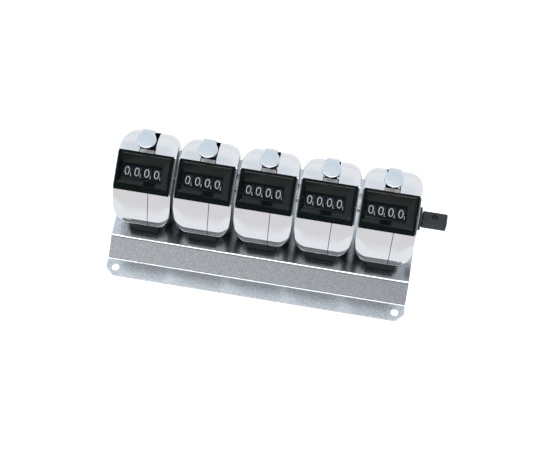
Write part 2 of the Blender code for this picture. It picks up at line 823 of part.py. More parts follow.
place_in_each("transfer_pinion", transfer_pinion(), steel, (0, PINION_Y, PINION_Z))
place_in_each("mounting_block", mounting_block(), black_plastic)

build_base(zinc)
build_reset_shaft(steel)
build_collar(black_plastic)
build_knob(black_plastic, steel)
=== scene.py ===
"""Looks for the bank of five hand tally counters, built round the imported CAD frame.

Metres, +Z up, windows and thumb levers facing -Y. Every piece is made in a counter's frame, a wheel's
frame or the bezel's frame, and those are placed from the CAD nodes' own boxes.
"""

import math

import bmesh
import bpy
from mathutils import Matrix, Vector


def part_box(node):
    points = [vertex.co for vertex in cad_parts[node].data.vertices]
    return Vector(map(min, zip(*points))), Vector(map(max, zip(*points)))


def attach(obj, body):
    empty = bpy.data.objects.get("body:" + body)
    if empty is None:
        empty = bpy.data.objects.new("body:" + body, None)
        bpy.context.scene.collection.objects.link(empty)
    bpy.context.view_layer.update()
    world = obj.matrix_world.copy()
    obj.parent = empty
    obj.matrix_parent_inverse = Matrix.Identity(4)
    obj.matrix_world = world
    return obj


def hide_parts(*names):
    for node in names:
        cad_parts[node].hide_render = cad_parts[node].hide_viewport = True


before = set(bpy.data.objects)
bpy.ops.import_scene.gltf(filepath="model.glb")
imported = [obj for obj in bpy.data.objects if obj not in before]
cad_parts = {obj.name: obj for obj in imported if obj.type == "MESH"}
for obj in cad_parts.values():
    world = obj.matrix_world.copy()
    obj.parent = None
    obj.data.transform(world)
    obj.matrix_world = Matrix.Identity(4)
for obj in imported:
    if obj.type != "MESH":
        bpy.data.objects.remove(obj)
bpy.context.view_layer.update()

COUNTERS = 5
MM = 0.001
PLAY = 0.3 * MM

# Case shells, in a counter's frame: origin at the centre of the round case
CASE_HALF_WIDTH = 14.0 * MM
CASE_WALL = 0.8 * MM
CASE_FRONT = 21.0 * MM
CASE_BACK = 20.0 * MM
CASE_BOTTOM = 21.0 * MM
CASE_FRONT_RADIUS = 16.6 * MM
CASE_REAR_RADIUS = 18.5 * MM
CASE_TOP = 23.3 * MM
CASE_BACK_RADIUS = 15.5 * MM
CASE_EDGE_RADIUS = 1.2 * MM
CASE_BELLY_RADIUS = 8.0 * MM
CASE_BELLY_RISE = 1.5 * MM
DOME_WIDTH = 6.6 * MM
DOME_END_SCALE = 0.556
DOME_CENTRE_Z = 17.3 * MM
DOME_STEPS = 14
CASE_STEP = 1.6 * MM
# Degrees round the dome's centre from the front, upwards, and the share of the inset there
DOME_SHARES = (
    (-180, 1.0), (-100, 1.0), (-58, 0.58), (-30, 0.07), (92, 0.07), (125, 0.43), (180, 1.0),
)
SEAM_X = 3.3 * MM
SLOT_LEFT_X = -4.1 * MM
SLOT_BACK_Y = 16.5 * MM
SLOT_DEPTH = 8.0 * MM
SCREW_HOLE_RADIUS = 2.0 * MM
SCREW_TOP = -13.0 * MM

# Bezel, in its own frame: +Y up the slope, +Z out of it
BEZEL_SLOPE = math.radians(30)
BEZEL_AT = (-0.25 * MM, -7.8 * MM, 18.65 * MM)
BEZEL_WIDTH = 26.2 * MM
BEZEL_HEIGHT = 18.6 * MM
BEZEL_DEPTH = 3.4 * MM
BEZEL_CORNER = 0.5 * MM
RIM_WIDTH = 0.85 * MM
FACET = 0.4 * MM
FACET_DROP = 0.08 * MM
POCKET_DEPTH = 5.6 * MM
WINDOW_X = -1.15 * MM
WINDOW_Y = 0.05 * MM
WINDOW_WIDTH = 18.6 * MM
WINDOW_HEIGHT = 7.1 * MM
WINDOW_FLARE_LEFT = 1.9 * MM
WINDOW_FLARE_RIGHT = 3.4 * MM
WINDOW_FLARE_TOP = 4.1 * MM
WINDOW_FLARE_BOTTOM = 2.8 * MM
WINDOW_LIP = 1.2 * MM
LENS_THICKNESS = 0.4 * MM
LENS_PLAY = 0.02 * MM

# Number wheels, on the reset shaft
WHEEL_Y = -1.2 * MM
WHEEL_Z = 6.1 * MM
WHEEL_RADIUS = 10.2 * MM
WHEEL_WIDTH = 4.2 * MM
WHEEL_PITCH = 4.78 * MM
UNITS_WHEEL_X = 5.77 * MM
WHEEL_NAMES = ("units_wheel", "tens_wheel", "hundreds_wheel", "thousands_wheel")
RATCHET_RADIUS = 6.0 * MM
RATCHET_WIDTH = 1.0 * MM
BORE_RADIUS = 1.8 * MM
WHEEL_HUB_RADIUS = 3.1 * MM
WHEEL_RIM = 1.3 * MM
WHEEL_WEB_DROP = 0.5 * MM
WHEEL_SOFT = 0.12 * MM
DIGIT_HEIGHT = 4.0 * MM
DIGIT_WIDTH = 2.35 * MM
DIGIT_PROUD = 0.05 * MM
DIGIT_STEP = math.radians(36)
ONE_WIDTH_SHARE = 0.55
SCORE_PITCH = 0.45 * MM
SCORES_EACH_WAY = 5
DIGIT_THINNED = -0.02
DIGIT_ANGLE = math.radians(63)
DIGIT_X = -0.3 * MM

# Thumb lever, in the wheel frame after WHEEL_Y and WHEEL_Z are taken off
PAD_RADIUS = 4.7 * MM
PAD_X = -0.6 * MM
PAD_Y = 2.55 * MM
PAD_TOP = 32.0 * MM
PAD_DISH = 0.18 * MM
PAD_STEPS = 64
PAD_SCORES = 6
BEND_SCORES = 8
LEVER_SHEET = 1.2 * MM
NECK_WIDTH = 6.1 * MM
NECK_X = -0.65 * MM
NECK_BACK_Y = 9.0 * MM
NECK_BEND_RADIUS = 1.5 * MM
STRAP_BOTTOM = 13.0 * MM
STRAP_TOP = 15.5 * MM
ARM_SHEET = 0.4 * MM
ARM_LEFT_X = -11.1 * MM
ARM_RIGHT_X = 9.6 * MM
ARM_HALF_WIDTH = 1.7 * MM
ARM_INSET = 0.02 * MM
HUB_INSET = 0.04 * MM
HUB_RADIUS = 2.4 * MM
HUB_LENGTH = 1.9 * MM

# Knob, collar and shaft
SHAFT_RADIUS = 1.5 * MM
KNOB_SIZE = 6.3 * MM
KNOB_BEVEL = 0.5 * MM
KNOB_BORE_DEPTH = 9.5 * MM
SET_SCREW_HOLE_RADIUS = 1.5 * MM
SET_SCREW_LENGTH = 0.9 * MM
SOCKET_RADIUS = 0.6 * MM
COLLAR_SOFT = 0.25 * MM
COLLAR_SOFT_SHARE = 0.3

# Base and mounting blocks
SHEET = 1.2 * MM
FLANGE_EDGE_Y = 39.2 * MM
FLANGE_FOLD_Y = 30.2 * MM
PLATE_FOLD_Y = 21.2 * MM
FOLD_RADIUS = 1.2 * MM
CORNER_CHAMFER = 4.0 * MM
FLANGE_HOLE_RADIUS = 2.0 * MM
FLANGE_HOLE_INSET = 4.6 * MM
FLANGE_HOLE_Y = 34.7 * MM
BLOCK_WIDTH = 13.8 * MM
BLOCK_HALF_DEPTH = 16.6 * MM
BLOCK_TOP = -10.0 * MM
SCREW_HEAD_RADIUS = 3.3 * MM
SCREW_HEAD_HEIGHT = 2.0 * MM
# The pan head's curve, from its foot: shares of its radius and of its height
SCREW_HEAD_CURVE = ((0.55, 0.96), (0.85, 0.78), (1.0, 0.45))
SCREW_HEAD_GAP = 0.05 * MM
SCREW_SHANK_RADIUS = 1.75 * MM
SCREW_TIP_RADIUS = 1.35 * MM
SCREW_TIP_LENGTH = 0.4 * MM
RECESS_REACH = 1.9 * MM
RECESS_HALF_WIDTH = 0.38 * MM
RECESS_DEPTH = 1.1 * MM

# Places, from the CAD nodes
base_low, base_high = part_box("base_plate")
knob_low, knob_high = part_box("reset_knob")
collar_low, collar_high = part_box("shaft_collar")
PLATE_TOP = base_high.z
CASE_CENTRE_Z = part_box("case_left_1")[0].z + CASE_BOTTOM


def counter_origin(number):
    """The origin of this counter's frame."""
    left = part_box(f"case_left_{number}")[0].x
    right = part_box(f"case_right_{number}")[1].x
    return Vector(((left + right) / 2, 0.0, CASE_CENTRE_Z))


def wheel_origin(number):
    """The reset shaft's axis in the middle of this counter."""
    return counter_origin(number) + Vector((0.0, WHEEL_Y, WHEEL_Z))


BEZEL_FRAME = Matrix.Translation(BEZEL_AT) @ Matrix.Rotation(BEZEL_SLOPE, 4, "X")


# Materials

# A noise texture's values lie mostly between these, and a finish spreads its own range over them
NOISE_LOW = 0.3
NOISE_HIGH = 0.7
PATCH_DETAIL = 3.0
GRAIN_DETAIL = 6.0


def linked(tree, kind, **settings):
    """A new node of this kind in a tree, with these settings."""
    node = tree.nodes.new(kind)
    for name, value in settings.items():
        setattr(node, name, value)
    return node


def surface(
    name,
    colour,
    metallic,
    roughness,
    second=None,
    mottle=400.0,
    roughness_spread=0.03,
    grain=1500.0,
    stretch=(1.0, 1.0, 1.0),
    bump=0.1,
    bump_height=0.00002,
    specular=0.5,
    wave=0.0,
):
    """A finish whose colour, roughness and height vary at two scales, in the piece's own coordinates.

    mottle and grain are noise scales per metre, and stretch draws both out along an axis.
    """
    made = bpy.data.materials.new(name)
    made.use_nodes = True
    tree = made.node_tree
    shader = tree.nodes["Principled BSDF"]
    shader.inputs["Metallic"].default_value = metallic
    shader.inputs["Specular IOR Level"].default_value = specular
    coords = linked(tree, "ShaderNodeTexCoord")
    mapping = linked(tree, "ShaderNodeMapping")
    mapping.inputs["Scale"].default_value = stretch
    tree.links.new(coords.outputs["Object"], mapping.inputs["Vector"])

    patches = linked(tree, "ShaderNodeTexNoise")
    patches.inputs["Scale"].default_value = mottle
    patches.inputs["Detail"].default_value = PATCH_DETAIL
    tree.links.new(mapping.outputs["Vector"], patches.inputs["Vector"])
    fine = linked(tree, "ShaderNodeTexNoise")
    fine.inputs["Scale"].default_value = grain
    fine.inputs["Detail"].default_value = GRAIN_DETAIL
    tree.links.new(mapping.outputs["Vector"], fine.inputs["Vector"])

    ramp = linked(tree, "ShaderNodeValToRGB")
    ramp.color_ramp.elements[0].position = NOISE_LOW
    ramp.color_ramp.elements[0].color = (*(second or colour), 1.0)
    ramp.color_ramp.elements[1].position = NOISE_HIGH
    ramp.color_ramp.elements[1].color = (*colour, 1.0)
    tree.links.new(patches.outputs["Fac"], ramp.inputs["Fac"])
    tree.links.new(ramp.outputs["Color"], shader.inputs["Base Color"])

    rough = linked(tree, "ShaderNodeMapRange")
    rough.inputs["From Min"].default_value = NOISE_LOW
    rough.inputs["From Max"].default_value = NOISE_HIGH
    rough.inputs["To Min"].default_value = max(0.0, roughness - roughness_spread)
    rough.inputs["To Max"].default_value = roughness + roughness_spread
    tree.links.new(fine.outputs["Fac"], rough.inputs["Value"])
    tree.links.new(rough.outputs["Result"], shader.inputs["Roughness"])

    relief = linked(tree, "ShaderNodeBump")
    relief.inputs["Strength"].default_value = bump
    relief.inputs["Distance"].default_value = bump_height
    tree.links.new(fine.outputs["Fac"], relief.inputs["Height"])
    if wave:
        swell = linked(tree, "ShaderNodeBump")
        swell.inputs["Strength"].default_value = 1.0
        swell.inputs["Distance"].default_value = wave
        tree.links.new(patches.outputs["Fac"], swell.inputs["Height"])
        tree.links.new(swell.outputs["Normal"], relief.inputs["Normal"])
    tree.links.new(relief.outputs["Normal"], shader.inputs["Normal"])
    made.diffuse_color = (*colour, 1.0)
    return made


def clear(name, colour, roughness, share):
    """Clear acrylic: a glossy sheet of which this share is seen, with faint haze that varies over it."""
    made = surface(name, colour, 0.0, roughness, roughness_spread=0.01, grain=300.0, bump=0.0)
    made.node_tree.nodes["Principled BSDF"].inputs["Alpha"].default_value = share
    return made


chrome = surface(
    "chrome", (0.93, 0.94, 0.955), 1.0, 0.045, second=(0.90, 0.915, 0.935), mottle=160.0,
    roughness_spread=0.02, grain=2500.0, bump=0.04, bump_height=0.000004, wave=0.000012,
)
lever_chrome = surface(
    "lever_chrome", (0.86, 0.93, 0.97), 1.0, 0.09, second=(0.82, 0.895, 0.94), mottle=240.0,
    roughness_spread=0.03, grain=3000.0, bump=0.06, bump_height=0.000005, wave=0.00001,
)
gloss_black = surface(
    "gloss_black", (0.0025, 0.005, 0.0045), 0.0, 0.10, second=(0.0015, 0.003, 0.0028), mottle=200.0,
    roughness_spread=0.03, grain=2200.0, bump=0.05, bump_height=0.000008, specular=0.32,
)
wheel_black = surface(
    "wheel_black", (0.004, 0.005, 0.007), 0.0, 0.38, second=(0.0025, 0.003, 0.004), mottle=600.0,
    roughness_spread=0.06, grain=5000.0, bump=0.15, bump_height=0.00001, specular=0.22,
)
digit_white = surface(
    "digit_white", (0.74, 0.76, 0.78), 0.0, 0.5, second=(0.66, 0.68, 0.70), mottle=1400.0,
    roughness_spread=0.05, grain=6000.0, bump=0.12, bump_height=0.000008,
)
satin_steel = surface(
    "satin_steel", (0.78, 0.76, 0.765), 0.85, 0.46, second=(0.68, 0.665, 0.67), mottle=300.0,
    roughness_spread=0.06, grain=1200.0, stretch=(1.0, 6.0, 1.0), bump=0.12, bump_height=0.00001,
)
turned_steel = surface(
    "turned_steel", (0.66, 0.66, 0.67), 1.0, 0.22, second=(0.58, 0.58, 0.59), mottle=500.0,
    roughness_spread=0.05, grain=1800.0, stretch=(8.0, 1.0, 1.0), bump=0.12, bump_height=0.000008,
)
zinc = surface(
    "zinc", (0.86, 0.91, 0.95), 1.0, 0.23, second=(0.58, 0.63, 0.67), mottle=1500.0,
    roughness_spread=0.04, grain=1400.0, stretch=(1.0, 1.2, 1.2), bump=0.1, bump_height=0.00001,
)
knob_black = surface(
    "knob_black", (0.026, 0.032, 0.035), 0.0, 0.45, second=(0.021, 0.026, 0.028), mottle=500.0,
    roughness_spread=0.05, grain=4000.0, bump=0.12, bump_height=0.00001, specular=0.15,
)
screw_black = surface(
    "screw_black", (0.045, 0.040, 0.040), 0.8, 0.42, second=(0.03, 0.028, 0.028), mottle=900.0,
    roughness_spread=0.06, grain=4000.0, bump=0.2, bump_height=0.00001,
)
block_plastic = surface(
    "block_plastic", (0.016, 0.017, 0.018), 0.0, 0.55, second=(0.010, 0.011, 0.012), mottle=500.0,
    roughness_spread=0.08, grain=2600.0, bump=0.35, bump_height=0.00003, specular=0.4,
)
lens_clear = clear("lens_clear", (0.01, 0.02, 0.03), 0.03, 0.12)


# Making pieces


def new_object(name, mesh, finish=None):
    made = bpy.data.objects.new(name, mesh)
    bpy.context.scene.collection.objects.link(made)
    if finish is not None and not mesh.materials:
        mesh.materials.append(finish)
    return made


def piece(name, mesh, finish, body, location=(0, 0, 0), stands_for=()):
    """A shown piece that rides on a body and stands for these CAD nodes."""
    made = new_object(name, mesh, finish)
    made.location = location
    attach(made, body)
    if stands_for:
        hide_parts(*stands_for)
    return made


def mesh_of(shape, name):
    """The mesh that a bmesh makes. The bmesh goes."""
    mesh = bpy.data.meshes.new(name)
    shape.to_mesh(mesh)
    shape.free()
    return mesh


def skin(shape, row, following, closed=True):
    """Adds the faces between two rows of points."""
    for i in range(len(row) if closed else len(row) - 1):
        j = (i + 1) % len(row)
        shape.faces.new((row[i], row[j], following[j], following[i]))


def raised(shape, outline, height):
    """Adds a flat outline in X and Y, drawn out along Z."""
    face = shape.faces.new([shape.verts.new((x, y, 0.0)) for x, y in outline])
    lifted = bmesh.ops.extrude_face_region(shape, geom=[face])
    for v in lifted["geom"]:
        if isinstance(v, bmesh.types.BMVert):
            v.co.z += height


def scored(shape, normal, places):
    """Adds edges across a shape at these places along an axis, so that it bends there."""
    for place in places:
        bmesh.ops.bisect_plane(
            shape,
            geom=shape.verts[:] + shape.edges[:] + shape.faces[:],
            plane_co=Vector(normal) * place,
            plane_no=normal,
        )


def box_mesh(low, high):
    """A box between two opposite corners."""
    shape = bmesh.new()
    bmesh.ops.create_cube(shape, size=1.0)
    low = Vector(low)
    size = Vector(high) - low
    bmesh.ops.transform(
        shape,
        matrix=Matrix.Translation(low + size / 2) @ Matrix.Diagonal((*size, 1.0)),
        verts=shape.verts,
    )
    return mesh_of(shape, "box")


def rod_mesh(radius, start, end, segments=40):
    """A cylinder between two points."""
    shape = bmesh.new()
    start = Vector(start)
    along = Vector(end) - start
    bmesh.ops.create_cone(
        shape,
        cap_ends=True,
        segments=segments,
        radius1=radius,
        radius2=radius,
        depth=along.length,
        matrix=Matrix.Translation(start + along / 2)
        @ along.to_track_quat("Z", "Y").to_matrix().to_4x4(),
    )
    return mesh_of(shape, "rod")


def loft_mesh(rings):
    """A skin through rings that have the same number of points."""
    shape = bmesh.new()
    rows = [[shape.verts.new(point) for point in ring] for ring in rings]
    for row, following in zip(rows, rows[1:]):
        skin(shape, row, following)
    shape.faces.new(rows[0])
    shape.faces.new(rows[-1])
    bmesh.ops.recalc_face_normals(shape, faces=shape.faces)
    return mesh_of(shape, "loft")


def rounded(corners, step_degrees=4, closed=True):
    """An outline through corners of (y, z, radius), each turned by an arc of that radius."""
    points = []
    last = len(corners) - 1
    for i, (y, z, radius) in enumerate(corners):
        corner = Vector((y, z))
        if radius == 0 or (not closed and i in (0, last)):
            points.append(corner)
            continue
        back = (Vector(corners[i - 1][:2]) - corner).normalized()
        ahead = (Vector(corners[(i + 1) % len(corners)][:2]) - corner).normalized()
        turn = math.pi - back.angle(ahead)
        centre = corner + (back + ahead).normalized() * radius / math.cos(turn / 2)
        spoke = corner + back * radius * math.tan(turn / 2) - centre
        sign = -1 if back.cross(ahead) > 0 else 1
        steps = max(1, round(math.degrees(turn) / step_degrees))
        for k in range(steps + 1):
            arm = spoke.copy()
            arm.rotate(Matrix.Rotation(sign * turn * k / steps, 2))
            points.append(centre + arm)
    return points


def prism_mesh(outline, left, right):
    """A flat outline in Y and Z, drawn out along X."""
    return loft_mesh([[(x, y, z) for y, z in outline] for x in (left, right)])


def turned_mesh(profile, steps=72):
    """A closed profile of (radius, x) points turned round the X axis."""
    shape = bmesh.new()
    rows = []
    for step in range(steps):
        angle = 2 * math.pi * step / steps
        rows.append(
            [shape.verts.new((x, r * math.cos(angle), r * math.sin(angle))) for r, x in profile]
        )
    for step in range(steps):
        skin(shape, rows[step], rows[(step + 1) % steps])
    bmesh.ops.recalc_face_normals(shape, faces=shape.faces)
    mesh = mesh_of(shape, "turned")
    smooth(mesh)
    return mesh


def combine(target, mesh, operation="DIFFERENCE", matrix=None):
    """Cuts a shape from an object, or joins one to it, with a Boolean modifier."""
    tool = new_object("tool", mesh)
    if matrix is not None:
        tool.matrix_world = matrix
    boolean = target.modifiers.new("boolean", "BOOLEAN")
    boolean.operation = operation
    boolean.solver = "EXACT"
    boolean.object = tool
    return tool


def baked(source, edge=0.0, segments=2, angle=30):
    """The mesh that an object's modifiers make, with rounded edges. The object and its tools go."""
    tools = [m.object for m in source.modifiers if m.type == "BOOLEAN"]
    bpy.context.view_layer.update()
    mesh = evaluated(source)
    mesh.transform(source.matrix_world)
    for used in [source, *tools]:
        bpy.data.objects.remove(used, do_unlink=True)
    tidy(mesh)
    if edge:
        mesh = rounded_edges(mesh, edge, segments, angle)
    mesh.materials.clear()
    return mesh


def evaluated(source):
    """A new mesh of an object with its modifiers applied."""
    graph = bpy.context.evaluated_depsgraph_get()
    return bpy.data.meshes.new_from_object(source.evaluated_get(graph), depsgraph=graph)


def tidy(mesh):
    """Joins double points and turns every face outwards."""
    shape = bmesh.new()
    shape.from_mesh(mesh)
    bmesh.ops.remove_doubles(shape, verts=shape.verts, dist=0.000001)
    bmesh.ops.recalc_face_normals(shape, faces=shape.faces)
    shape.to_mesh(mesh)
    shape.free()
    smooth(mesh)


def smooth(mesh, angle=35):
    """Shades a mesh smooth, but for the edges sharper than this angle."""
    mesh.shade_smooth()
    mesh.set_sharp_from_angle(angle=math.radians(angle))


def rounded_edges(mesh, width, segments=2, angle=30):
    """The mesh with a small bevel along its sharp edges, shaded as one soft surface."""
    holder = new_object("edges", mesh)
    bevel = holder.modifiers.new("bevel", "BEVEL")
    bevel.width = width
    bevel.segments = segments
    bevel.limit_method = "ANGLE"
    bevel.angle_limit = math.radians(angle)
    bevel.harden_normals = True
    bpy.context.view_layer.update()
    made = evaluated(holder)
    bpy.data.objects.remove(holder, do_unlink=True)
    return made


# Case shells


def case_outline(grow=0.0):
    """The case seen from its side, from the front of the bottom round the back to the front."""
    front = CASE_FRONT + grow
    back = CASE_BACK + grow
    bottom = CASE_BOTTOM + grow
    rise = BEZEL_HEIGHT / 2 * math.sin(BEZEL_SLOPE)
    run = BEZEL_HEIGHT / 2 * math.cos(BEZEL_SLOPE)
    bezel_y, bezel_z = BEZEL_AT[1], BEZEL_AT[2]
    belly_z = CASE_FRONT_RADIUS - CASE_BOTTOM + CASE_BELLY_RISE
    return rounded(
        [
            (-front, -bottom, CASE_FRONT_RADIUS + grow),
            (back, -bottom, CASE_REAR_RADIUS + grow),
            (back, CASE_TOP, CASE_BACK_RADIUS),
            (bezel_y + run, bezel_z + rise, CASE_EDGE_RADIUS),
            (bezel_y - run, bezel_z - rise, CASE_EDGE_RADIUS),
            (-front, belly_z, CASE_BELLY_RADIUS),
        ]
    )


def inset_share(y, z):
    """How much of the dome's inset a point takes, from its direction out of the dome's centre."""
    angle = math.degrees(math.atan2(z - DOME_CENTRE_Z, -y))
    for (start, low), (end, high) in zip(DOME_SHARES, DOME_SHARES[1:]):
        if angle <= end:
            away = (angle - start) / (end - start)
            return low + (high - low) * away * away * (3 - 2 * away)
    return DOME_SHARES[-1][1]


def case_ring(x, scale, outline):
    """The case's outline at this x, drawn in towards the dome's centre."""
    ring = []
    for y, z in outline:
        kept = 1 - (1 - scale) * inset_share(y, z)
        ring.append((x, y * kept, DOME_CENTRE_Z + (z - DOME_CENTRE_Z) * kept))
    return ring


def divided(outline, step):
    """The outline with points added along its long straight runs."""
    points = []
    for i, start in enumerate(outline):
        end = outline[(i + 1) % len(outline)]
        parts = max(1, math.ceil((end - start).length / step))
        points += [start.lerp(end, k / parts) for k in range(parts)]
    return points


def drawn_in(outline, distance):
    """The outline with every point moved inwards by this distance."""
    count = len(outline)
    moved = []
    for i, point in enumerate(outline):
        ahead = (outline[(i + 1) % count] - point).normalized()
        behind = (point - outline[i - 1]).normalized()
        along = (ahead + behind).normalized()
        inward = Vector((-along.y, along.x))
        moved.append(point + inward * distance / math.cos(ahead.angle(behind) / 2))
    return moved


def dome_rings(side, start, width, outline):
    """Rings from a flat start along X to the domed end of a case, at this dome width."""
    flat = CASE_HALF_WIDTH - DOME_WIDTH
    rings = [case_ring(start, 1.0, outline)]
    for step in range(DOME_STEPS + 1):
        turn = math.pi / 2 * step / DOME_STEPS
        scale = DOME_END_SCALE + (1 - DOME_END_SCALE) * math.cos(turn)
        rings.append(case_ring(side * (flat + width * math.sin(turn)), scale, outline))
    return rings


def case_shell(side):
    """One half of the case, from the seam to its domed end: side is 1 on the right, -1 on the left."""
    outline = divided(case_outline(), CASE_STEP)
    seam = SEAM_X + side * PLAY / 2
    shell = new_object("case_shell", loft_mesh(dome_rings(side, seam, DOME_WIDTH, outline)))
    hollow = dome_rings(
        side, seam - side * CASE_WALL, DOME_WIDTH - CASE_WALL, drawn_in(outline, CASE_WALL)
    )
    combine(shell, loft_mesh(hollow))
    half_width = BEZEL_WIDTH / 2 + PLAY
    half_height = BEZEL_HEIGHT / 2 + PLAY
    pocket = box_mesh(
        (-half_width, -half_height, -POCKET_DEPTH), (half_width, half_height, POCKET_DEPTH)
    )
    combine(shell, pocket, matrix=BEZEL_FRAME)
    across = 2 * CASE_HALF_WIDTH
    combine(shell, rod_mesh(BORE_RADIUS, (-across, WHEEL_Y, WHEEL_Z), (across, WHEEL_Y, WHEEL_Z)))
    if side < 0:
        slot = box_mesh(
            (SLOT_LEFT_X, BEZEL_AT[1] / 2, CASE_TOP - SLOT_DEPTH),
            (SEAM_X + PLAY, SLOT_BACK_Y, CASE_TOP + CASE_WALL),
        )
        combine(shell, slot)
        screw_hole = rod_mesh(
            SCREW_HOLE_RADIUS, (0, 0, -CASE_BOTTOM - CASE_WALL), (0, 0, SCREW_TOP)
        )
        combine(shell, screw_hole)
    return baked(shell, edge=0.14 * MM, segments=2, angle=45)


# Bezel and lens


def window_ring(depth, flare, grow=0.0):
    """The window's opening in the bezel frame, at this depth, flared by this share."""
    left = WINDOW_X - WINDOW_WIDTH / 2 - flare * WINDOW_FLARE_LEFT - grow
    right = WINDOW_X + WINDOW_WIDTH / 2 + flare * WINDOW_FLARE_RIGHT + grow
    bottom = WINDOW_Y - WINDOW_HEIGHT / 2 - flare * WINDOW_FLARE_BOTTOM - grow
    top = WINDOW_Y + WINDOW_HEIGHT / 2 + flare * WINDOW_FLARE_TOP + grow
    return [(left, bottom, -depth), (right, bottom, -depth), (right, top, -depth), (left, top, -depth)]


def bezel_mesh():
    """A flat frame with a lowered rim, and a window that narrows towards its bottom."""
    half_width = BEZEL_WIDTH / 2
    half_height = BEZEL_HEIGHT / 2
    plate = rounded(
        [
            (-half_width, -half_height, BEZEL_CORNER),
            (half_width, -half_height, BEZEL_CORNER),
            (half_width, half_height, BEZEL_CORNER),
            (-half_width, half_height, BEZEL_CORNER),
        ],
        step_degrees=15,
    )
    levels = (
        (0.0, -BEZEL_DEPTH), (0.0, -FACET_DROP), (RIM_WIDTH, -FACET_DROP), (RIM_WIDTH + FACET, 0.0),
    )
    body = new_object(
        "bezel",
        loft_mesh([
            [(x * (1 - inset / half_width), y * (1 - inset / half_height), z) for x, y in plate]
            for inset, z in levels
        ]),
    )
    flare_depth = BEZEL_DEPTH - WINDOW_LIP
    opening = loft_mesh(
        [
            window_ring(BEZEL_DEPTH + PLAY, 0.0),
            window_ring(flare_depth, 0.0),
            window_ring(flare_depth - FACET_DROP, 0.0, FACET),
            window_ring(FACET_DROP, 1.0),
            window_ring(0.0, 1.0, FACET),
            window_ring(-flare_depth, 1.0, FACET),
        ]
    )
    combine(body, opening)
    mesh = baked(body, edge=0.2 * MM, segments=3, angle=20)
    mesh.transform(BEZEL_FRAME)
    return mesh


def lens_mesh():
    """A thin clear sheet in the bottom of the window."""
    top = BEZEL_DEPTH - WINDOW_LIP / 2
    low, _, high, _ = window_ring(top, 0.0, -LENS_PLAY)
    sheet = box_mesh((low[0], low[1], -top - LENS_THICKNESS), (high[0], high[1], -top))
    mesh = rounded_edges(sheet, width=0.06 * MM)
    mesh.transform(BEZEL_FRAME)
    return mesh


# Number wheels


def wheel_mesh(ratchet):
    """A number wheel round its own centre: a rim with softened edges, and a recessed web on each side."""
    half = WHEEL_WIDTH / 2
    soft = WHEEL_SOFT
    web = WHEEL_WEB_DROP
    rim_inner = WHEEL_RADIUS - WHEEL_RIM
    hub = WHEEL_HUB_RADIUS
    left = [
        (BORE_RADIUS, -half), (hub, -half), (hub, -half + web), (rim_inner, -half + web),
        (rim_inner, -half), (WHEEL_RADIUS - soft, -half), (WHEEL_RADIUS, -half + soft),
    ]
    right = [(WHEEL_RADIUS, half - soft), (WHEEL_RADIUS - soft, half)]
    if ratchet:
        right += [
            (RATCHET_RADIUS, half), (RATCHET_RADIUS, half + RATCHET_WIDTH),
            (BORE_RADIUS, half + RATCHET_WIDTH),
        ]
    else:
        right += [
            (rim_inner, half), (rim_inner, half - web), (hub, half - web), (hub, half),
            (BORE_RADIUS, half),
        ]
    return turned_mesh(left + right, 100)


def digit_mesh(digit):
    """One printed digit with its index tick, flat in X and Y, standing a little out of the XY plane."""
    curve = bpy.data.curves.new("digit", "FONT")
    curve.body = str(digit)
    curve.size = 1.0
    curve.resolution_u = 6
    curve.extrude = 0.01
    curve.offset = DIGIT_THINNED
    holder = new_object("digit", curve)
    bpy.context.view_layer.update()
    mesh = evaluated(holder)
    bpy.data.objects.remove(holder, do_unlink=True)
    low = Vector([min(v.co[i] for v in mesh.vertices) for i in range(3)])
    high = Vector([max(v.co[i] for v in mesh.vertices) for i in range(3)])
    size = high - low
    width = DIGIT_WIDTH if digit != 1 else DIGIT_WIDTH * ONE_WIDTH_SHARE
    mesh.transform(
        Matrix.Diagonal((width / size.x, DIGIT_HEIGHT / size.y, DIGIT_PROUD / size.z, 1.0))
        @ Matrix.Translation(-Vector(((low.x + high.x) / 2, (low.y + high.y) / 2, low.z)))
    )
    return mesh


def tick_outline():
    """A small L at the lower right of a digit, as the printed wheels have."""
    x, y = 1.7 * MM, -2.4 * MM
    across, up, thick = 0.65 * MM, 1.6 * MM, 0.2 * MM
    return [
        (x, y), (x + across, y), (x + across, y + thick), (x + thick, y + thick),
        (x + thick, y + up), (x, y + up),
    ]


def digits_mesh():
    """Ten digits and ticks round a wheel. Each next digit is one tenth of a turn behind the last."""
    gathered = bmesh.new()
    for digit in range(10):
        shape = bmesh.new()
        shape.from_mesh(digit_mesh(digit))
        raised(shape, tick_outline(), DIGIT_PROUD)
        scores = [k * SCORE_PITCH for k in range(-SCORES_EACH_WAY, SCORES_EACH_WAY + 1)]
        scored(shape, (0, 1, 0), scores)
        for v in shape.verts:
            radius = WHEEL_RADIUS - 0.5 * DIGIT_PROUD + v.co.z
            angle = DIGIT_ANGLE + DIGIT_STEP * digit + v.co.y / WHEEL_RADIUS
            v.co = Vector((v.co.x + DIGIT_X, -radius * math.cos(angle), radius * math.sin(angle)))
        gathered.from_mesh(mesh_of(shape, "digit"))
    bmesh.ops.recalc_face_normals(gathered, faces=gathered.faces)
    made = mesh_of(gathered, "digits")
    smooth(made)
    return made


# Thumb lever


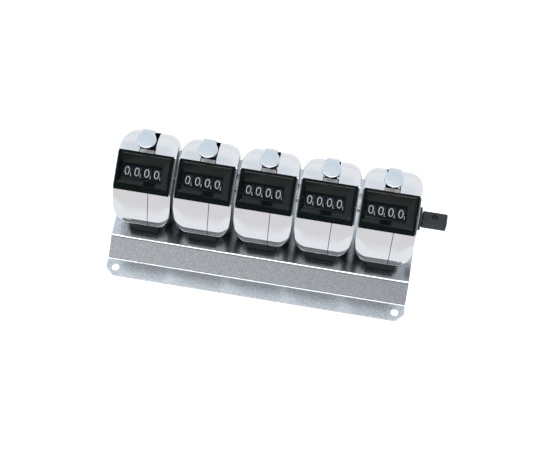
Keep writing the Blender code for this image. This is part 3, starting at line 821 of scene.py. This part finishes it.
def lever_top_mesh():
    """The pad and its neck: one flat blank, bent down over the back and lightly dished on top."""
    overlap = NECK_WIDTH / 2
    start = math.asin(overlap / PAD_RADIUS)
    pad_to_bend = NECK_BACK_Y - NECK_BEND_RADIUS - PAD_Y
    middle = NECK_BEND_RADIUS - LEVER_SHEET / 2
    bend = math.pi / 2 * middle
    drop = PAD_TOP - NECK_BEND_RADIUS - STRAP_BOTTOM
    total = pad_to_bend + bend + drop
    outline = []
    for k in range(PAD_STEPS + 1):
        angle = start + (2 * math.pi - 2 * start) * k / PAD_STEPS
        outline.append((PAD_X + PAD_RADIUS * math.sin(angle), PAD_RADIUS * math.cos(angle)))
    outline.append((NECK_X - overlap, total))
    outline.append((NECK_X + overlap, total))
    shape = bmesh.new()
    raised(shape, outline, -LEVER_SHEET)
    bmesh.ops.recalc_face_normals(shape, faces=shape.faces)
    flat = mesh_of(shape, "lever_blank")
    smooth(flat)
    flat = rounded_edges(flat, width=0.28 * MM, segments=3, angle=40)
    shape = bmesh.new()
    shape.from_mesh(flat)
    along = [pad_to_bend + bend * k / BEND_SCORES for k in range(BEND_SCORES + 1)]
    along += [PAD_RADIUS * k / PAD_SCORES for k in range(1 - PAD_SCORES, PAD_SCORES - 1)]
    scored(shape, (0, 1, 0), along)
    across = [PAD_X + PAD_RADIUS * k / PAD_SCORES for k in range(1 - PAD_SCORES, PAD_SCORES)]
    scored(shape, (1, 0, 0), across)
    for v in shape.verts:
        x, s, z = v.co
        away = math.hypot(x - PAD_X, s) / PAD_RADIUS
        if s <= pad_to_bend:
            dish = PAD_DISH * max(0.0, 1 - away * away)
            v.co = Vector((x, PAD_Y + s, PAD_TOP + z - dish))
        elif s <= pad_to_bend + bend:
            angle = (s - pad_to_bend) / middle
            reach = NECK_BEND_RADIUS + z
            v.co = Vector((
                x,
                NECK_BACK_Y - NECK_BEND_RADIUS + reach * math.sin(angle),
                PAD_TOP - NECK_BEND_RADIUS + reach * math.cos(angle),
            ))
        else:
            down = s - pad_to_bend - bend
            v.co = Vector((x, NECK_BACK_Y + z, PAD_TOP - NECK_BEND_RADIUS - down))
        v.co.y -= WHEEL_Y
        v.co.z -= WHEEL_Z
    made = mesh_of(shape, "lever_top")
    smooth(made, angle=50)
    return made


def lever_yoke_mesh():
    """The strap behind the slot, its two arms and their hubs on the reset shaft, in the wheel frame."""
    back = NECK_BACK_Y - WHEEL_Y
    front = back - LEVER_SHEET
    low, high = STRAP_BOTTOM - WHEEL_Z, STRAP_TOP - WHEEL_Z
    half_arm = ARM_SHEET / 2
    yoke = new_object(
        "yoke", box_mesh((ARM_LEFT_X - half_arm, front, low), (ARM_RIGHT_X + half_arm, back, high))
    )
    head = Vector((back - LEVER_SHEET / 2, (low + high) / 2))
    for middle in (ARM_LEFT_X, ARM_RIGHT_X):
        along = head.normalized()
        across = along.orthogonal() * ARM_HALF_WIDTH
        outline = [-across, across, head + across, head - across]
        reach = half_arm - ARM_INSET
        arm = prism_mesh([tuple(p) for p in outline], middle - reach, middle + reach)
        combine(yoke, arm, "UNION")
    left_face = ARM_LEFT_X - half_arm + HUB_INSET
    combine(yoke, rod_mesh(HUB_RADIUS, (left_face, 0, 0), (left_face + ARM_SHEET, 0, 0)), "UNION")
    right_face = ARM_RIGHT_X - half_arm + HUB_INSET
    combine(yoke, rod_mesh(HUB_RADIUS, (right_face, 0, 0), (right_face + HUB_LENGTH, 0, 0)), "UNION")
    combine(yoke, rod_mesh(BORE_RADIUS, (-CASE_HALF_WIDTH, 0, 0), (CASE_HALF_WIDTH, 0, 0)))
    return baked(yoke, edge=0.08 * MM, segments=2, angle=40)


# Reset shaft, collar, knob


def knob_mesh(length):
    """A square bar, bored for the shaft, with a hole in the middle of its top for the set screw."""
    half = KNOB_SIZE / 2
    bar = new_object("knob", box_mesh((0, -half, -half), (length, half, half)))
    edges = bar.modifiers.new("edges", "BEVEL")
    edges.width = KNOB_BEVEL
    edges.segments = 1
    combine(bar, rod_mesh(BORE_RADIUS, (-PLAY, 0, 0), (KNOB_BORE_DEPTH, 0, 0)))
    middle = length / 2
    combine(bar, rod_mesh(SET_SCREW_HOLE_RADIUS, (middle, 0, 0), (middle, 0, KNOB_SIZE)))
    return baked(bar, edge=0.07 * MM, segments=2, angle=30)


def set_screw_mesh():
    """A headless screw along Z from its foot, with a hexagon socket and a softened rim."""
    radius = SET_SCREW_HOLE_RADIUS - PLAY
    screw = new_object("set_screw", rod_mesh(radius, (0, 0, 0), (0, 0, SET_SCREW_LENGTH)))
    socket = rod_mesh(SOCKET_RADIUS, (0, 0, SET_SCREW_LENGTH / 2), (0, 0, 2 * SET_SCREW_LENGTH), 6)
    combine(screw, socket)
    return baked(screw, edge=0.1 * MM, segments=2, angle=40)


def collar_mesh(radius, width):
    """A bored disc with softened rims, from x = 0."""
    soft = COLLAR_SOFT
    start = soft * COLLAR_SOFT_SHARE
    profile = [
        (BORE_RADIUS, 0.0), (radius - soft, 0.0), (radius - start, start),
        (radius, soft), (radius, width - soft), (radius - start, width - start),
        (radius - soft, width), (BORE_RADIUS, width),
    ]
    return turned_mesh(profile)


# Base, mounting blocks, screws


def base_mesh():
    """One sheet along its fold line, with cut corners and the holes of its flanges and its top plate."""
    half = (base_high.x - base_low.x) / 2
    centre = (base_high.x + base_low.x) / 2
    line = rounded(
        [
            (-FLANGE_EDGE_Y, SHEET, 0),
            (-FLANGE_FOLD_Y, SHEET, FOLD_RADIUS),
            (-PLATE_FOLD_Y, PLATE_TOP, FOLD_RADIUS + SHEET),
            (PLATE_FOLD_Y, PLATE_TOP, FOLD_RADIUS + SHEET),
            (FLANGE_FOLD_Y, SHEET, FOLD_RADIUS),
            (FLANGE_EDGE_Y, SHEET, 0),
        ],
        closed=False,
    )
    shape = bmesh.new()
    left, right = [[shape.verts.new((centre + x, y, z)) for y, z in line] for x in (-half, half)]
    skin(shape, right, left, closed=False)
    base = new_object("base", mesh_of(shape, "base"))
    sheet = base.modifiers.new("sheet", "SOLIDIFY")
    sheet.thickness = SHEET
    sheet.offset = -1
    sheet.use_even_offset = True
    reach = 2.5 * CORNER_CHAMFER
    for side in (-1, 1):
        for end in (-1, 1):
            corner = Vector((centre + end * half, side * FLANGE_EDGE_Y, 0))
            wedge = box_mesh((-reach, -reach, -SHEET), (reach, reach, 2 * SHEET))
            turn = Matrix.Rotation(math.radians(45), 4, "Z")
            outward = Vector((end, side, 0)).normalized() * (reach - CORNER_CHAMFER / math.sqrt(2))
            combine(base, wedge, matrix=Matrix.Translation(corner + outward) @ turn)
            x = centre + end * (half - FLANGE_HOLE_INSET)
            y = side * FLANGE_HOLE_Y
            combine(base, rod_mesh(FLANGE_HOLE_RADIUS, (x, y, -SHEET), (x, y, 2 * SHEET)))
    for number in range(1, COUNTERS + 1):
        x = counter_origin(number).x
        low, high = PLATE_TOP - 2 * SHEET, PLATE_TOP + SHEET
        combine(base, rod_mesh(SCREW_HOLE_RADIUS, (x, 0, low), (x, 0, high)))
    return baked(base, edge=0.12 * MM, segments=2, angle=40)


def block_mesh():
    """A saddle between the top plate and the round bottom of the case, in the counter frame."""
    low = PLATE_TOP + PLAY - CASE_CENTRE_Z
    half = BLOCK_WIDTH / 2
    block = new_object(
        "block",
        box_mesh((-half, -BLOCK_HALF_DEPTH, low), (half, BLOCK_HALF_DEPTH, BLOCK_TOP)),
    )
    combine(block, prism_mesh(case_outline(PLAY), -2 * CASE_HALF_WIDTH, 2 * CASE_HALF_WIDTH))
    combine(block, rod_mesh(SCREW_HOLE_RADIUS, (0, 0, low - SHEET), (0, 0, low + SHEET)))
    return baked(block, edge=0.2 * MM, segments=2, angle=40)


def mounting_screw_mesh():
    """A pan head under the top plate with a cross recess, and its shank up into the frame's boss."""
    under = PLATE_TOP - SHEET - CASE_CENTRE_Z
    seat = under - SCREW_HEAD_GAP
    profile = [
        (SCREW_HEAD_RADIUS * across, under - SCREW_HEAD_HEIGHT * down)
        for across, down in SCREW_HEAD_CURVE
    ]
    profile += [
        (SCREW_HEAD_RADIUS, seat), (SCREW_SHANK_RADIUS, seat),
        (SCREW_SHANK_RADIUS, SCREW_TOP - SCREW_TIP_LENGTH), (SCREW_TIP_RADIUS, SCREW_TOP),
    ]
    shape = bmesh.new()
    steps = 48
    rows = []
    for step in range(steps):
        angle = 2 * math.pi * step / steps
        rows.append([
            shape.verts.new((r * math.cos(angle), r * math.sin(angle), z)) for r, z in profile
        ])
    foot = shape.verts.new((0, 0, under - SCREW_HEAD_HEIGHT))
    top = shape.verts.new((0, 0, SCREW_TOP))
    for step in range(steps):
        row, following = rows[step], rows[(step + 1) % steps]
        shape.faces.new((foot, row[0], following[0]))
        shape.faces.new((top, following[-1], row[-1]))
        skin(shape, row, following, closed=False)
    bmesh.ops.recalc_face_normals(shape, faces=shape.faces)
    screw = new_object("screw", mesh_of(shape, "screw"))
    deep = under - SCREW_HEAD_HEIGHT + RECESS_DEPTH
    for length, width in ((RECESS_REACH, RECESS_HALF_WIDTH), (RECESS_HALF_WIDTH, RECESS_REACH)):
        combine(screw, box_mesh((-length, -width, under - 2 * SCREW_HEAD_HEIGHT), (length, width, deep)))
    return baked(screw, edge=0.06 * MM, segments=2, angle=40)


# The whole bank

left_shell = case_shell(-1)
right_shell = case_shell(1)
bezel = bezel_mesh()
lens = lens_mesh()
units_drum = wheel_mesh(ratchet=True)
plain_drum = wheel_mesh(ratchet=False)
digits = digits_mesh()
lever_top = lever_top_mesh()
lever_yoke = lever_yoke_mesh()
block = block_mesh()
mounting_screw = mounting_screw_mesh()

for n in range(1, COUNTERS + 1):
    centre = counter_origin(n)
    axis = wheel_origin(n)
    piece(f"case_left_{n}_shell", left_shell, chrome, "base", centre, [f"case_left_{n}"])
    piece(f"case_right_{n}_shell", right_shell, chrome, "base", centre, [f"case_right_{n}"])
    piece(f"bezel_{n}_frame", bezel, gloss_black, "base", centre, [f"bezel_{n}"])
    piece(f"window_lens_{n}", lens, lens_clear, "base", centre)
    piece(f"mounting_block_{n}_saddle", block, block_plastic, "base", centre,
          [f"mounting_block_{n}"])
    piece(f"mounting_screw_{n}", mounting_screw, turned_steel, "base", centre)
    lever = f"thumb_lever_{n}"
    piece(f"{lever}_top", lever_top, lever_chrome, lever, axis, [lever])
    piece(f"{lever}_yoke", lever_yoke, lever_chrome, lever, axis, [lever])
    for order, wheel_name in enumerate(WHEEL_NAMES):
        wheel = f"{wheel_name}_{n}"
        at = axis + Vector((UNITS_WHEEL_X - order * WHEEL_PITCH, 0, 0))
        drum = plain_drum if order else units_drum
        piece(f"{wheel}_drum", drum, wheel_black, wheel, at, [wheel])
        piece(f"{wheel}_digits", digits, digit_white, wheel, at)
    for node, finish in ((f"inner_frame_{n}", satin_steel), (f"transfer_pinion_{n}", turned_steel)):
        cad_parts[node].data.materials.clear()
        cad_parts[node].data.materials.append(finish)

axis_y, axis_z = wheel_origin(1).y, wheel_origin(1).z
piece("base_sheet", base_mesh(), zinc, "base", (0, 0, 0), ["base_plate"])
shaft_low, shaft_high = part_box("reset_shaft")
shaft = rod_mesh(SHAFT_RADIUS, (shaft_low.x, 0, 0), (shaft_high.x, 0, 0), 48)
smooth(shaft)
piece("reset_shaft_rod", rounded_edges(shaft, width=0.15 * MM), turned_steel, "reset_shaft",
      (0, axis_y, axis_z), ["reset_shaft"])
collar = collar_mesh((collar_high.z - collar_low.z) / 2, collar_high.x - collar_low.x)
piece("shaft_collar_ring", collar, knob_black, "base", (collar_low.x, axis_y, axis_z),
      ["shaft_collar"])
knob = knob_mesh(knob_high.x - knob_low.x)
piece("reset_knob_bar", knob, knob_black, "reset_shaft", (knob_low.x, axis_y, axis_z),
      ["reset_knob"])
screw_low, screw_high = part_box("knob_set_screw")
piece("knob_set_screw_body", set_screw_mesh(), screw_black, "reset_shaft",
      ((screw_low.x + screw_high.x) / 2, axis_y, screw_low.z), ["knob_set_screw"])


# Floor, light and camera

# Degrees from the front horizon over the top to the back, and the tent's tone there
TENT_TONES = (
    (0, (0.28, 0.27, 0.275)),
    (18, (0.28, 0.27, 0.275)),
    (26, (0.82, 0.79, 0.79)),
    (38, (0.60, 0.59, 0.60)),
    (48, (0.12, 0.13, 0.14)),
    (66, (0.09, 0.10, 0.11)),
    (74, (1.20, 1.20, 1.20)),
    (80, (4.50, 4.50, 4.50)),
    (86, (4.50, 4.50, 4.50)),
    (92, (1.20, 1.22, 1.25)),
    (106, (0.68, 0.72, 0.765)),
    (120, (0.70, 0.74, 0.785)),
    (134, (0.80, 0.83, 0.865)),
    (180, (0.84, 0.85, 0.87)),
)
# Radians by which the bands are shifted at the far right, and the other way at the far left
TENT_SLANT = 0.35
# The ends of the tent, from and to these shares of the way to the side
FLANK_FROM = 0.45
FLANK_TO = 0.9
FLANK_TONE = (0.78, 0.79, 0.82)
BACKDROP_TONE = (0.96, 0.96, 0.96)
# The floor as metal sees it, a painted reflection glow: y of its dark front and of its pale strip by the
# object, and the tones between
FLOOR_FRONT_Y = -0.35
FLOOR_NEAR_Y = -0.083
PAINTED_FLOOR_GLOW_TONES = (
    (0.0, (0.28, 0.27, 0.275)),
    (0.64, (0.71, 0.69, 0.695)),
    (0.96, (0.71, 0.69, 0.695)),
    (1.0, (0.82, 0.83, 0.86)),
)
FLOOR_HALF_SIZE = 2.5
FLOOR_THICKNESS = 0.02
FLOOR_GAP = 0.0001
FLOOR_OWN_GLOW = 0.25
# Mirror bounces over which reflected light fades, and the share that is left: painted shade that keeps gaps
# between parts dark
FADE_FROM_BOUNCE = 1
FADE_TO_BOUNCE = 3
FADED_SHARE = 0.1


def map_range(tree, value, start, end, low=0.0, high=1.0):
    """A value's place between start and end, as a value between low and high."""
    node = linked(tree, "ShaderNodeMapRange")
    settings = {"From Min": start, "From Max": end, "To Min": low, "To Max": high}
    for name, setting in settings.items():
        node.inputs[name].default_value = setting
    tree.links.new(value, node.inputs["Value"])
    return node.outputs["Result"]


def tone_ramp(tree, share, tones):
    """A colour ramp through (share, tone) stops."""
    node = linked(tree, "ShaderNodeValToRGB")
    elements = node.color_ramp.elements
    elements[0].color = (*tones[0][1], 1.0)
    elements[-1].color = (*tones[-1][1], 1.0)
    for place, tone in tones[1:-1]:
        elements.new(place).color = (*tone, 1.0)
    tree.links.new(share, node.inputs["Fac"])
    return node.outputs["Color"]


def deep_reflection_dimmer(tree, path):
    """1 for light seen in one mirror, and less through two or more: painted shade, so that gaps between
    parts stay dark.
    """
    depth = path.outputs["Glossy Depth"]
    return map_range(tree, depth, FADE_FROM_BOUNCE, FADE_TO_BOUNCE, 1.0, FADED_SHARE)


def studio_world():
    """A soft tent: pale at the back and sides, dark behind the camera, with a bright band above that."""
    world = bpy.data.worlds.new("tent")
    world.use_nodes = True
    tree = world.node_tree
    background = tree.nodes["Background"]
    coords = linked(tree, "ShaderNodeTexCoord")
    parts = linked(tree, "ShaderNodeSeparateXYZ")
    tree.links.new(coords.outputs["Generated"], parts.inputs["Vector"])
    front = linked(tree, "ShaderNodeMath", operation="MULTIPLY")
    front.inputs[1].default_value = -1.0
    tree.links.new(parts.outputs["Y"], front.inputs[0])
    angle = linked(tree, "ShaderNodeMath", operation="ARCTAN2")
    tree.links.new(parts.outputs["Z"], angle.inputs[0])
    tree.links.new(front.outputs["Value"], angle.inputs[1])
    slanted = linked(tree, "ShaderNodeMath", operation="MULTIPLY_ADD")
    slanted.inputs[1].default_value = TENT_SLANT
    tree.links.new(parts.outputs["X"], slanted.inputs[0])
    tree.links.new(angle.outputs["Value"], slanted.inputs[2])
    share = map_range(tree, slanted.outputs["Value"], 0.0, math.pi)
    tones = tone_ramp(tree, share, [(degrees / 180, tone) for degrees, tone in TENT_TONES])
    sideways = linked(tree, "ShaderNodeMath", operation="ABSOLUTE")
    tree.links.new(parts.outputs["X"], sideways.inputs[0])
    flank = map_range(tree, sideways.outputs["Value"], FLANK_FROM, FLANK_TO)
    sides = linked(tree, "ShaderNodeMix", data_type="RGBA")
    colour_a, colour_b = [s for s in sides.inputs if s.type == "RGBA"]
    blended = next(s for s in sides.outputs if s.type == "RGBA")
    colour_b.default_value = (*FLANK_TONE, 1.0)
    tree.links.new(flank, sides.inputs["Factor"])
    tree.links.new(tones, colour_a)
    tree.links.new(blended, background.inputs["Color"])
    plain = linked(tree, "ShaderNodeBackground")
    plain.inputs["Color"].default_value = (*BACKDROP_TONE, 1.0)
    path = linked(tree, "ShaderNodeLightPath")
    # painted shade: the tent is dimmed in light seen through two or more mirrors, so gaps stay dark
    tree.links.new(deep_reflection_dimmer(tree, path), background.inputs["Strength"])
    choose = linked(tree, "ShaderNodeMixShader")
    tree.links.new(path.outputs["Is Camera Ray"], choose.inputs["Fac"])
    tree.links.new(background.outputs["Background"], choose.inputs[1])
    tree.links.new(plain.outputs["Background"], choose.inputs[2])
    tree.links.new(choose.outputs["Shader"], tree.nodes["World Output"].inputs["Surface"])
    return world


def sun(name, azimuth, elevation, strength, spread, glossy):
    """A soft distant light. Without glossy it lights only matt surfaces."""
    light = bpy.data.lights.new(name, "SUN")
    light.energy = strength
    light.angle = math.radians(spread)
    holder = bpy.data.objects.new(name, light)
    holder.rotation_euler = (math.radians(90 - elevation), 0, math.radians(azimuth))
    holder.visible_glossy = glossy
    bpy.context.scene.collection.objects.link(holder)
    return holder


def paper_finish():
    """White paper, which metal sees as a painted glow: dark far in front and pale by the object."""
    paper = surface(
        "paper", (0.95, 0.95, 0.95), 0.0, 0.75, second=(0.94, 0.94, 0.94), mottle=20.0,
        grain=400.0, bump=0.02, specular=0.2,
    )
    tree = paper.node_tree
    shader = tree.nodes["Principled BSDF"]
    shader.inputs["Emission Color"].default_value = (1.0, 1.0, 1.0, 1.0)
    shader.inputs["Emission Strength"].default_value = FLOOR_OWN_GLOW
    place = linked(tree, "ShaderNodeTexCoord")
    parts = linked(tree, "ShaderNodeSeparateXYZ")
    tree.links.new(place.outputs["Object"], parts.inputs["Vector"])
    share = map_range(tree, parts.outputs["Y"], FLOOR_FRONT_Y, FLOOR_NEAR_Y)
    # painted reflection: only mirror rays see this glow, dark far in front and pale by the object
    glow = linked(tree, "ShaderNodeEmission")
    tree.links.new(tone_ramp(tree, share, PAINTED_FLOOR_GLOW_TONES), glow.inputs["Color"])
    path = linked(tree, "ShaderNodeLightPath")
    # painted shade: the floor glow is dimmed through two or more mirrors, so gaps stay dark
    tree.links.new(deep_reflection_dimmer(tree, path), glow.inputs["Strength"])
    choose = linked(tree, "ShaderNodeMixShader")
    tree.links.new(path.outputs["Is Glossy Ray"], choose.inputs["Fac"])
    tree.links.new(shader.outputs["BSDF"], choose.inputs[1])
    tree.links.new(glow.outputs["Emission"], choose.inputs[2])
    tree.links.new(choose.outputs["Shader"], tree.nodes["Material Output"].inputs["Surface"])
    return paper


floor_mesh = box_mesh(
    (-FLOOR_HALF_SIZE, -FLOOR_HALF_SIZE, -FLOOR_THICKNESS), (FLOOR_HALF_SIZE, FLOOR_HALF_SIZE, -FLOOR_GAP)
)
floor = new_object("floor", floor_mesh, paper_finish())

bpy.context.scene.world = studio_world()
sun("top_light", azimuth=-15, elevation=75, strength=1.3, spread=60, glossy=False)
sun("front_light", azimuth=10, elevation=45, strength=0.6, spread=40, glossy=False)

# Where the photographer stood, from the object's own edges and their convergence
CAMERA_AT = (33.9 * MM, -359.5 * MM, 624.3 * MM)
CAMERA_ELEVATION = math.radians(59.67)
CAMERA_YAW = math.radians(6.08)
CAMERA_ROLL = math.radians(3.89)
CAMERA_LENS = 94.97
SENSOR_WIDTH = 36.0
lens_data = bpy.data.cameras.new("camera")
lens_data.sensor_width = SENSOR_WIDTH
lens_data.lens = CAMERA_LENS
lens_data.clip_start = 0.01
lens_data.clip_end = 20.0
camera = bpy.data.objects.new("camera", lens_data)
camera.matrix_world = (
    Matrix.Translation(CAMERA_AT)
    @ Matrix.Rotation(CAMERA_YAW, 4, "Z")
    @ Matrix.Rotation(math.pi / 2 - CAMERA_ELEVATION, 4, "X")
    @ Matrix.Rotation(CAMERA_ROLL, 4, "Z")
)
bpy.context.scene.collection.objects.link(camera)
bpy.context.scene.camera = camera
bpy.context.scene.view_settings.view_transform = "Standard"
